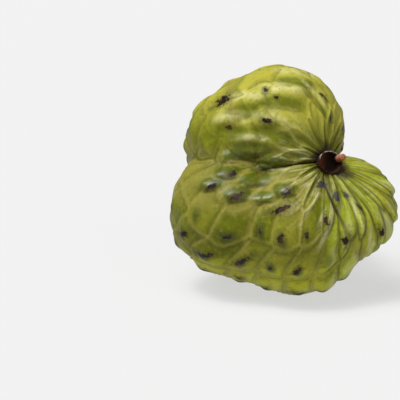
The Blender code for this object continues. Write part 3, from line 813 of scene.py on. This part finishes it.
SPLINTER_LEAN = 0.16
PALE_RADIUS = 1.9                # the paler wood reaches this far from the splinter's middle
PALE_LEAN = 0.15
PALE_FOOT = 2.0                  # and down to this height


def select_top():
    """In edit mode, leaves only the top face selected."""
    bpy.ops.mesh.select_all(action="DESELECT")
    bpy.ops.object.mode_set(mode="OBJECT")
    faces = bpy.context.object.data.polygons
    max(faces, key=lambda face: (face.center.z, face.normal.z)).select = True
    bpy.ops.object.mode_set(mode="EDIT")
    bpy.ops.mesh.select_mode(type="FACE")


def cut_rings(heights):
    """In edit mode, cuts a ring of new edges at each height."""
    for height in heights:
        bpy.ops.mesh.select_all(action="SELECT")
        bpy.ops.mesh.bisect(plane_co=(0.0, 0.0, height * MM), plane_no=(0.0, 0.0, 1.0))


def round_off(piece):
    """Rounds the active piece by subdivision."""
    rounding = piece.modifiers.new("rounding", "SUBSURF")
    rounding.levels = 2
    rounding.render_levels = 2
    bpy.ops.object.modifier_apply(modifier=rounding.name)


bpy.ops.object.select_all(action="DESELECT")
bpy.ops.mesh.primitive_cylinder_add(vertices=COLLAR_SIDES, radius=COLLAR_ACROSS * MM,
                                    depth=(CUP_TOP - COLLAR_FOOT) * MM,
                                    location=(0.0, 0.0, (CUP_TOP + COLLAR_FOOT) / 2.0 * MM))
collar = bpy.context.object
collar.name = "stalk_collar"
bpy.ops.object.transform_apply(location=True, rotation=False, scale=False)
bpy.ops.object.mode_set(mode="EDIT")
select_top()
bpy.ops.mesh.inset(thickness=WALL * MM)
for drop, share in CUP_STEPS:
    bpy.ops.mesh.extrude_region_move(TRANSFORM_OT_translate={"value": (0.0, 0.0, -drop * MM)})
    bpy.ops.transform.resize(value=(share, share, 1.0))
for thickness in FLOOR_RINGS:
    bpy.ops.mesh.inset(thickness=thickness * MM)
bpy.ops.mesh.poke()
cut_rings(CUP_CUTS)
bpy.ops.object.mode_set(mode="OBJECT")
round_off(collar)

bpy.ops.mesh.primitive_cylinder_add(vertices=32, radius=SPLINTER_RADIUS * MM, depth=SPLINTER_TOP * MM,
                                    location=(0.0, 0.0, SPLINTER_TOP / 2.0 * MM))
splinter = bpy.context.object
bpy.ops.object.transform_apply(location=True, rotation=False, scale=False)
bpy.ops.object.mode_set(mode="EDIT")
select_top()
for thickness in SPLINTER_RINGS:
    bpy.ops.mesh.inset(thickness=thickness * MM)
    bpy.ops.transform.translate(value=(0.0, 0.0, SPLINTER_CROWN * MM))
bpy.ops.mesh.poke()
cut_rings(SPLINTER_CUTS)
bpy.ops.object.mode_set(mode="OBJECT")
round_off(splinter)
splinter_x = math.cos(SPLINTER_TURN)
splinter_y = math.sin(SPLINTER_TURN) * COLLAR_UP / COLLAR_ACROSS
splinter_points = vertex_array(splinter.data) / MM
lean = SPLINTER_OUT + SPLINTER_LEAN * splinter_points[:, 2]
splinter_points[:, 0] += lean * splinter_x
splinter_points[:, 1] += lean * splinter_y
splinter.data.vertices.foreach_set("co", (splinter_points * MM).ravel())

# The torn rim in waves of three lengths round the cup, and fibres down its wall.
cup_points = vertex_array(collar.data) / MM
cup_turn = np.arctan2(cup_points[:, 1], cup_points[:, 0])
cup_out = np.hypot(cup_points[:, 0], cup_points[:, 1])
cup_points[:, 1] *= COLLAR_UP / COLLAR_ACROSS
torn = np.clip((cup_points[:, 2] - TORN_FOOT) / TORN_OVER, 0.0, 1.0)
ragged = np.sin(2.0 * cup_turn + 0.6) + 0.6 * np.sin(5.0 * cup_turn) + 0.35 * np.sin(13.0 * cup_turn + 1.0)
cup_points[:, 2] += RIM_TEAR * ragged * torn
fibre = FIBRE_DEPTH * np.sin(31.0 * cup_turn + 1.2 * np.sin(3.0 * cup_turn))
fibre = 1.0 + fibre * np.clip(cup_out / COLLAR_ACROSS, 0.0, 1.0)
cup_points[:, :2] *= fibre[:, None] * CUP_FIT
collar.data.vertices.foreach_set("co", (cup_points * MM).ravel())
combine(collar, splinter, "UNION")

# What the bark's material needs to know at each point.
local = vertex_array(collar.data) / MM
pale_x = local[:, 0] - SPLINTER_OUT * splinter_x - PALE_LEAN * local[:, 2]
pale_y = local[:, 1] - SPLINTER_OUT * splinter_y
pale = np.exp(-(np.hypot(pale_x, pale_y) / PALE_RADIUS) ** 6)
bark_facts = {
    "height": local[:, 2],
    "left": -local[:, 0],
    "up": local[:, 1],
    "out": np.hypot(local[:, 0], local[:, 1] * COLLAR_ACROSS / COLLAR_UP),
    "splinter": pale * (local[:, 2] > PALE_FOOT),
}
for name, values in bark_facts.items():
    store(collar.data, name, values)
collar.data.transform(collar_place)
bpy.ops.object.shade_smooth()

# Dry torn bark and wood: corky dark brown on the rim with a painted grey highlight along its
# upper edge, dark red-brown and matt inside the cup with painted shade deeper down and painted
# light on the redder left wall, and paler orange-brown where the splinter shows fresh wood.
# Rough and without gloss.
dry_bark = bpy.data.materials.new("dry_torn_bark")
dry_bark.use_nodes = True
tree = dry_bark.node_tree
shader = tree.nodes["Principled BSDF"]
place = add_node(tree, "ShaderNodeTexCoord").outputs["Object"]
sources = {}
for name in bark_facts:
    sources[name] = add_node(tree, "ShaderNodeAttribute", attribute_name=name).outputs["Fac"]
for name, size, detail, roughness in (("grain", 0.7, 4.0, 0.7), ("blotch", 2.4, 2.0, 0.5)):
    sources[name] = add_node(tree, "ShaderNodeTexNoise", {
        "Vector": place, "Scale": 1.0 / (size * MM), "Detail": detail, "Roughness": roughness,
    }).outputs["Fac"]
bark_layers = (
    # Blotches, a painted grey highlight on the rim's upper edge, the dark inside with painted shade
    # deepening downwards, and a redder left wall inside with painted light on it.
    ("#4A2412", 0.60, (("blotch", 0.4, 0.65),)),
    ("#A09A94", 0.85, (("height", 1.8, 2.5), ("grain", 0.2, 0.5), ("up", 0.5, 3.0))),
    ("#1C0B03", 1.00, (("height", 2.9, 1.0), ("out", 5.1, 4.6))),
    ("#8A420E", 1.00, (("left", -1.0, 3.5), ("height", -2.5, 0.0), ("out", 5.2, 5.0))),
    # The splinter's fresh wood, and dark grain over all.
    ("#8C5430", 0.90, (("splinter", 0.0, 1.0),)),
    ("#1C100A", 0.50, (("grain", 0.55, 0.72),)),
)
tree.links.new(painted(tree, "#241810", bark_layers, sources), shader.inputs["Base Color"])
shader.inputs["Roughness"].default_value = 0.72
shader.inputs["Specular IOR Level"].default_value = 0.15
shader.inputs["IOR"].default_value = 1.45
bump = add_node(tree, "ShaderNodeBump", {"Strength": 0.6, "Distance": 0.3 * MM, "Height": sources["grain"]})
tree.links.new(bump.outputs["Normal"], shader.inputs["Normal"])
collar.data.materials.append(dry_bark)
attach(collar, "root")
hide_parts("stem")


# ==== The table, the light and the camera =================================================
# A plain pale matt surface under soft even light, with the main light from above on the left.
# The camera looks a little down on the fruit, which stands right of the middle of its view.

TABLE_SIZE = 8.0                 # metres
CAMERA_RISE = math.radians(15.0)
CAMERA_AWAY = 0.7                # metres from the fruit
FRUIT_RIGHT = 0.0357             # the fruit's middle stands this far right of the view's centre
FRUIT_ABOVE = 0.0122             # and this far above it
# Lights: name, strength, spread in degrees and the way towards each.
LIGHTS = (
    ("soft_key", 3.2, 46.0, (-0.35, -0.20, 0.92)),
    ("crisp_key", 2.2, 16.0, (-0.35, -0.20, 0.92)),
    ("fill", 0.8, 60.0, (0.45, -0.80, 0.40)),
)

bpy.ops.object.select_all(action="DESELECT")
bpy.ops.mesh.primitive_plane_add(size=TABLE_SIZE, location=(0.0, 0.0, 0.0))
table = bpy.context.object
table.name = "table"
# Matt card that glows a little, so that it stays pale and even with only a soft shadow.
matt_card = bpy.data.materials.new("matt_white_card")
matt_card.use_nodes = True
shader = matt_card.node_tree.nodes["Principled BSDF"]
shader.inputs["Base Color"].default_value = colour("#6E6E6E")
shader.inputs["Emission Color"].default_value = colour("#FFFFFF")
shader.inputs["Emission Strength"].default_value = 0.585
shader.inputs["Roughness"].default_value = 0.9
shader.inputs["Specular IOR Level"].default_value = 0.2
table.data.materials.append(matt_card)

world = bpy.data.worlds.new("studio")
world.use_nodes = True
background = world.node_tree.nodes["Background"]
background.inputs["Color"].default_value = colour("#FFFFFF")
background.inputs["Strength"].default_value = 0.21
bpy.context.scene.world = world

for name, strength, spread, towards in LIGHTS:
    bpy.ops.object.light_add(type="SUN", location=(0.0, 0.0, 1.0))
    light = bpy.context.object
    light.name = name
    light.data.energy = strength
    light.data.angle = math.radians(spread)
    light.rotation_euler = Vector(towards).to_track_quat("Z", "Y").to_euler()

view_back = Vector((0.0, -math.cos(CAMERA_RISE), math.sin(CAMERA_RISE)))
view_right = Vector((1.0, 0.0, 0.0))
view_up = view_back.cross(view_right)
view_middle = Vector(MIDDLE * MM) - view_right * FRUIT_RIGHT - view_up * FRUIT_ABOVE
bpy.ops.object.camera_add(location=view_middle + view_back * CAMERA_AWAY,
                          rotation=(math.pi / 2.0 - CAMERA_RISE, 0.0, 0.0))
camera = bpy.context.object
camera.data.lens = 150.0
camera.data.sensor_width = 36.0
bpy.context.scene.camera = camera
bpy.context.scene.view_settings.view_transform = "Standard"
